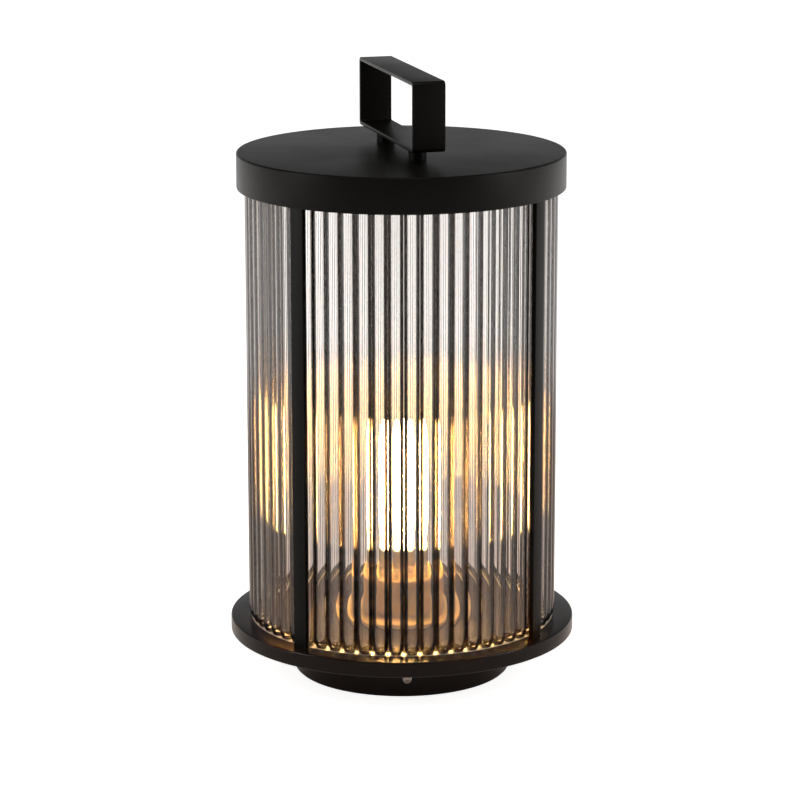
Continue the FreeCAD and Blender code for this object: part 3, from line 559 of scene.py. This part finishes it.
def makeCoverScrews():
    # under the bottom cover, heads down
    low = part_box("cover_screws")[0]
    mesh = bmesh.new()
    for i in range(screws["count"]):
        out = wayOut(coverScrew["firstTurn"] + 360 / screws["count"] * i)
        place = out * coverScrew["circle"] + Vector((0, 0, low[2]))
        addCopy(mesh, screwMesh(coverScrew), Matrix.Translation(place) @ Matrix.Rotation(math.pi, 4, "X"))
    finishPiece("coverScrews", mesh, "cover_screws", "zinc_steel")


thread = {
    "pitch": 3.63 * mm, "steps": 64, "perTurn": 10, "fade": 1.0 * mm, "capSkin": 0.5 * mm,
    "capTaper": 3.0 * mm, "capLip": 1.1 * mm, "lipRise": 0.1 * mm, "capEnd": 1.5 * mm,
    "capDepth": 0.45 * mm, "shellWall": 0.6 * mm, "shellDepth": 0.15 * mm,
}


def threadLevels(low, high):
    # the heights of enough rings to show the helix
    count = int((high - low) / thread["pitch"] * thread["perTurn"])
    return [low + (high - low) * i / count for i in range(count + 1)]


def rollThread(mesh, low, high, depth):
    # presses the screw's round helix into a thin tube, shallower near its ends
    for vert in mesh.verts:
        turn = math.atan2(vert.co.y, vert.co.x) / (2 * math.pi)
        wave = 0.5 - 0.5 * math.cos(2 * math.pi * (vert.co.z / thread["pitch"] - turn))
        fade = max(0.0, min(1.0, (vert.co.z - low) / thread["fade"], (high - vert.co.z) / thread["fade"]))
        share = 1 - depth * wave * fade / math.hypot(vert.co.x, vert.co.y)
        vert.co.x *= share
        vert.co.y *= share


def makeThreads():
    # the bulb's screw cap, and the brass shell that it turns in
    low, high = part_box("bulb_screw_cap")
    wide, start, lip = high[0], low[2] + thread["capTaper"], high[0] - thread["capLip"]
    levels = threadLevels(start, high[2])
    outline = [(lip, low[2])] + [(wide, z) for z in levels]
    outline += [(wide - thread["capSkin"], z) for z in levels[::-1]]
    outline += [(lip - thread["capSkin"], low[2] + thread["lipRise"])]
    mesh = spinOutline(outline, thread["steps"])
    rollThread(mesh, start, high[2] - thread["capEnd"], thread["capDepth"])
    finishPiece("rolledScrewCap", mesh, "bulb_screw_cap", "nickel", "bulb")
    low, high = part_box("lampholder_shell")
    levels = threadLevels(low[2], high[2])
    outline = [(high[0], z) for z in levels] + [(high[0] - thread["shellWall"], z) for z in levels[::-1]]
    mesh = spinOutline(outline, thread["steps"])
    rollThread(mesh, low[2] + thread["fade"], high[2] - thread["fade"], thread["shellDepth"])
    finishPiece("rolledBrassShell", mesh, "lampholder_shell", "brass")


porcelain = {
    "bore": 5.1 * mm, "waist": 17.5 * mm, "edge": 1.2 * mm, "edgeSteps": 4, "shoulder": 3.0 * mm,
    "floor": 12.0 * mm, "cavity": 14.3 * mm, "well": 6.0 * mm, "wellFloor": 7.1 * mm, "steps": 96,
    "grooves": 4, "grooveDepth": 0.8 * mm, "grooveRise": 2.1 * mm, "grooveSteps": 6, "groovePitch": 5 * mm,
    "firstGroove": 6 * mm,
}


def makeHolder():
    # the glazed holder: round shoulders, shallow grooves for the fingers, and its well
    low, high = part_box("lampholder_body")
    wide, edge, floor = high[0], porcelain["edge"], low[2] + porcelain["floor"]
    bore, waist, well = porcelain["bore"], porcelain["waist"], porcelain["well"]
    steps, wellFloor = porcelain["grooveSteps"], low[2] + porcelain["wellFloor"]
    outline = [(bore, low[2]), (waist - edge, low[2])]
    outline += arcPoints(waist - edge, low[2] + edge, edge, -90, 0, porcelain["edgeSteps"])[1:]
    outline += [(waist, floor), (wide, floor + porcelain["shoulder"])]
    for groove in range(porcelain["grooves"]):
        start = floor + porcelain["firstGroove"] + groove * porcelain["groovePitch"]
        outline += [(wide - porcelain["grooveDepth"] * math.sin(math.pi * k / steps),
                     start + porcelain["grooveRise"] * k / steps) for k in range(steps + 1)]
    outline += arcPoints(wide - edge, high[2] - edge, edge, 0, 90, porcelain["edgeSteps"])
    outline += [(porcelain["cavity"], high[2]), (porcelain["cavity"], floor), (well, floor),
                (well, wellFloor), (bore, wellFloor)]
    mesh = spinOutline(outline, porcelain["steps"])
    finishPiece("glazedHolder", mesh, "lampholder_body", "holder_bakelite")


grommet = {
    "bore": 3.3 * mm, "neck": 5.5 * mm, "lip": 1.8 * mm, "edge": 0.7 * mm, "edgeSteps": 4,
    "height": 16.0 * mm, "steps": 48,
}


def makeGrommet():
    # a moulded grommet with round flanges, lying across the drum's wall
    low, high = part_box("cable_grommet")
    wide, long, lip, edge = (high[0] - low[0]) / 2, high[1] - low[1], grommet["lip"], grommet["edge"]
    steps = grommet["edgeSteps"]
    outline = [(grommet["bore"], 0.0)] + arcPoints(wide - edge, edge, edge, -90, 0, steps)
    outline += [(wide, lip), (grommet["neck"], lip), (grommet["neck"], long - lip), (wide, long - lip)]
    outline += arcPoints(wide - edge, long - edge, edge, 0, 90, steps) + [(grommet["bore"], long)]
    mesh = spinOutline(outline, grommet["steps"])
    lay = Matrix.Rotation(math.radians(-90), 3, "X")
    bmesh.ops.rotate(mesh, verts=mesh.verts, cent=(0, 0, 0), matrix=lay)
    bmesh.ops.translate(mesh, verts=mesh.verts, vec=(0, low[1], grommet["height"]))
    finishPiece("mouldedGrommet", mesh, "cable_grommet", "black_rubber")


makeCap()
makePlate()
makeStand()
makeFoot()
makeHandle()
for postName, postAngle in posts["angles"].items():
    makePost(postName, postAngle)
makeDrumScrews()
makeCoverScrews()
makeThreads()
makeHolder()
makeGrommet()
print("turned, bent and moulded pieces made")

camera = {
    "distance": 2.4701, "height": 0.8086, "side": -0.0013, "pitch": 14.099, "yaw": -15.8, "roll": 0.067,
    "lens": 147.18, "sensor": 36.0, "shiftY": 0.0407, "farthest": 50.0,
}


def makeCamera():
    # stands where the photograph was taken from
    lens = bpy.data.cameras.new("photoCamera")
    lens.sensor_width = camera["sensor"]
    lens.lens = camera["lens"]
    lens.shift_y = camera["shiftY"]
    lens.clip_end = camera["farthest"]
    eye = bpy.data.objects.new("photoCamera", lens)
    bpy.context.scene.collection.objects.link(eye)
    turn = Matrix.Rotation(math.radians(camera["yaw"]), 4, "Z")
    place = Matrix.Translation((camera["side"], -camera["distance"], camera["height"]))
    tilt = Matrix.Rotation(math.radians(90 - camera["pitch"]), 4, "X")
    lean = Matrix.Rotation(math.radians(-camera["roll"]), 4, "Z")
    eye.matrix_world = turn @ place @ tilt @ lean
    bpy.context.scene.camera = eye


def lookingWay():
    # the level direction in which the camera looks
    yaw = math.radians(camera["yaw"])
    return (-math.sin(yaw), math.cos(yaw), 0)


def seenByEye(tree, rays):
    # 1 for what the camera sees itself, in a gloss or through glass
    gloss = addNode(tree, "ShaderNodeMath", {"operation": "MAXIMUM"}, i0=rays.outputs["Is Glossy Ray"],
                    i1=rays.outputs["Is Transmission Ray"])
    seen = addNode(tree, "ShaderNodeMath", {"operation": "MAXIMUM"}, i0=rays.outputs["Is Camera Ray"],
                   i1=gloss.outputs["Value"])
    return seen.outputs["Value"]


# lift: the white that only the camera adds; through and shade: what gloss and glass see of the floor
# far and near; front: the share of it on the camera's side; near, far: the distance where that changes
stage = {
    "floorSize": 12.0, "floorColor": "#efe9e4", "nearShadeColor": "#e6cdbd", "lift": 0.85, "through": 1.35,
    "shade": 0.5, "near": 0.7, "far": 1.25, "front": 0.08, "turnFrom": -0.35, "turnTo": 0.25,
}


def makeStage():
    # white to the camera; gloss and glass see it white far behind the lamp, dimmer beside it and in front
    material, tree, output, place = newMaterial("paleStudioFloor")
    matt = addNode(tree, "ShaderNodeBsdfDiffuse", {"Color": srgb(stage["floorColor"])})
    reach = addNode(tree, "ShaderNodeVectorMath", {"operation": "LENGTH"}, i0=place)
    away = addNode(tree, "ShaderNodeMapRange", {"interpolation_type": "SMOOTHSTEP", "From Min": stage["near"],
                                                "From Max": stage["far"]}, Value=reach.outputs["Value"])
    opening = addNode(tree, "ShaderNodeMapRange", {"To Min": stage["shade"], "To Max": stage["through"]},
                      Value=away.outputs["Result"])  # over 1, to make up for what the tube walls take
    ahead = addNode(tree, "ShaderNodeVectorMath", {"operation": "DOT_PRODUCT", 1: lookingWay()}, i0=place)
    behind = addNode(tree, "ShaderNodeMapRange", {"interpolation_type": "SMOOTHSTEP",
                                                  "From Min": stage["turnFrom"], "From Max": stage["turnTo"],
                                                  "To Min": stage["front"]}, Value=ahead.outputs["Value"])
    shaded = addNode(tree, "ShaderNodeMath", {"operation": "MULTIPLY"}, i0=opening.outputs["Result"],
                     i1=behind.outputs["Result"])
    rays = tree.nodes.new("ShaderNodeLightPath")
    plain = addNode(tree, "ShaderNodeMapRange", {"To Max": stage["lift"]},
                    Value=rays.outputs["Is Camera Ray"], To_Min=shaded.outputs["Value"])
    lift = addNode(tree, "ShaderNodeMath", {"operation": "MULTIPLY"}, i0=seenByEye(tree, rays),
                   i1=plain.outputs["Result"])
    plainWhite = addNode(tree, "ShaderNodeMath", {"operation": "MAXIMUM"}, i0=rays.outputs["Is Camera Ray"],
                         i1=away.outputs["Result"])
    # painted warm shade on the floor near the lamp, which only gloss and glass see; the camera and the far
    # floor stay white
    warmth = addNode(tree, "ShaderNodeMix",
                     {"data_type": "RGBA", 6: srgb(stage["nearShadeColor"]), 7: (1, 1, 1, 1)},
                     Factor=plainWhite.outputs["Value"])
    glow = addNode(tree, "ShaderNodeEmission", Color=warmth.outputs[2], Strength=lift.outputs["Value"])
    both = addNode(tree, "ShaderNodeAddShader", i0=matt.outputs["BSDF"], i1=glow.outputs["Emission"])
    tree.links.new(both.outputs["Shader"], output.inputs["Surface"])
    mesh = bmesh.new()
    bmesh.ops.create_grid(mesh, x_segments=1, y_segments=1, size=stage["floorSize"] / 2)
    data = bpy.data.meshes.new("studioFloor")
    mesh.to_mesh(data)
    mesh.free()
    floor = bpy.data.objects.new("studioFloor", data)
    bpy.context.scene.collection.objects.link(floor)
    data.materials.append(material)


lamps = {
    "leftPanel": {"place": (-1.9, -0.6, 0.9), "size": (0.32, 1.5), "power": 14.0},
    "rightPanel": {"place": (1.9, -0.5, 0.9), "size": (0.32, 1.5), "power": 16.0},
    "topPanel": {"place": (0.0, -0.5, 2.2), "size": (1.2, 0.8), "power": 8.0},
}
lampsAim = 0.25  # the height that every panel faces


def makeLamps():
    # narrow panels at both sides for the cap's highlights, and one above for its front edge
    turn = Matrix.Rotation(math.radians(camera["yaw"]), 4, "Z")
    for name, values in lamps.items():
        light = bpy.data.lights.new(name, "AREA")
        light.shape = "RECTANGLE"
        light.size, light.size_y = values["size"]
        light.energy = values["power"]
        panel = bpy.data.objects.new(name, light)
        bpy.context.scene.collection.objects.link(panel)
        place = turn @ Vector(values["place"])
        aim = (Vector((0, 0, lampsAim)) - place).to_track_quat("-Z", "Y").to_matrix().to_4x4()
        panel.matrix_world = Matrix.Translation(place) @ aim


# fill: the light on matt surfaces from all sides; front and above: what gloss and glass see there
room = {
    "fill": 0.3, "front": 0.08, "turnFrom": -0.3, "turnTo": 0.45,
    "above": 0.08, "riseFrom": 0.04, "riseTo": 0.4,
}


def makeWorld():
    # white behind the lamp, where the camera looks, and dim above it and on the camera's side
    world = bpy.data.worlds.new("studioWhite")
    bpy.context.scene.world = world
    world.use_nodes = True
    tree = world.node_tree
    tree.nodes.clear()
    coords = tree.nodes.new("ShaderNodeTexCoord")
    ahead = addNode(tree, "ShaderNodeVectorMath", {"operation": "DOT_PRODUCT", 1: lookingWay()},
                    i0=coords.outputs["Generated"])
    side = addNode(tree, "ShaderNodeMapRange",
                   {"interpolation_type": "SMOOTHSTEP", "From Min": room["turnFrom"],
                    "From Max": room["turnTo"], "To Min": room["front"]}, Value=ahead.outputs["Value"])
    split = addNode(tree, "ShaderNodeSeparateXYZ", Vector=coords.outputs["Generated"])
    rise = addNode(tree, "ShaderNodeMapRange",
                   {"interpolation_type": "SMOOTHSTEP", "From Min": room["riseFrom"],
                    "From Max": room["riseTo"], "To Min": 1.0, "To Max": room["above"]},
                   Value=split.outputs["Z"])
    low = addNode(tree, "ShaderNodeMath", {"operation": "MULTIPLY"}, i0=side.outputs["Result"],
                  i1=rise.outputs["Result"])
    rays = tree.nodes.new("ShaderNodeLightPath")
    white = addNode(tree, "ShaderNodeMath", {"operation": "MAXIMUM"}, i0=rays.outputs["Is Camera Ray"],
                    i1=low.outputs["Value"])
    level = addNode(tree, "ShaderNodeMapRange", {"To Min": room["fill"]}, Value=seenByEye(tree, rays),
                    To_Max=white.outputs["Value"])
    back = addNode(tree, "ShaderNodeBackground", {"Color": (1, 1, 1, 1)}, Strength=level.outputs["Result"])
    output = tree.nodes.new("ShaderNodeOutputWorld")
    tree.links.new(back.outputs["Background"], output.inputs["Surface"])


makeCamera()
makeStage()
makeLamps()
makeWorld()
scene = bpy.context.scene
scene.view_settings.view_transform = "Standard"
lightPaths = {"all": 48, "transmission": 48, "glossy": 16}  # a ray crosses eight tube walls and more
scene.cycles.max_bounces = lightPaths["all"]
scene.cycles.transmission_bounces = lightPaths["transmission"]
scene.cycles.glossy_bounces = lightPaths["glossy"]
print("stage, camera and lamps ready")
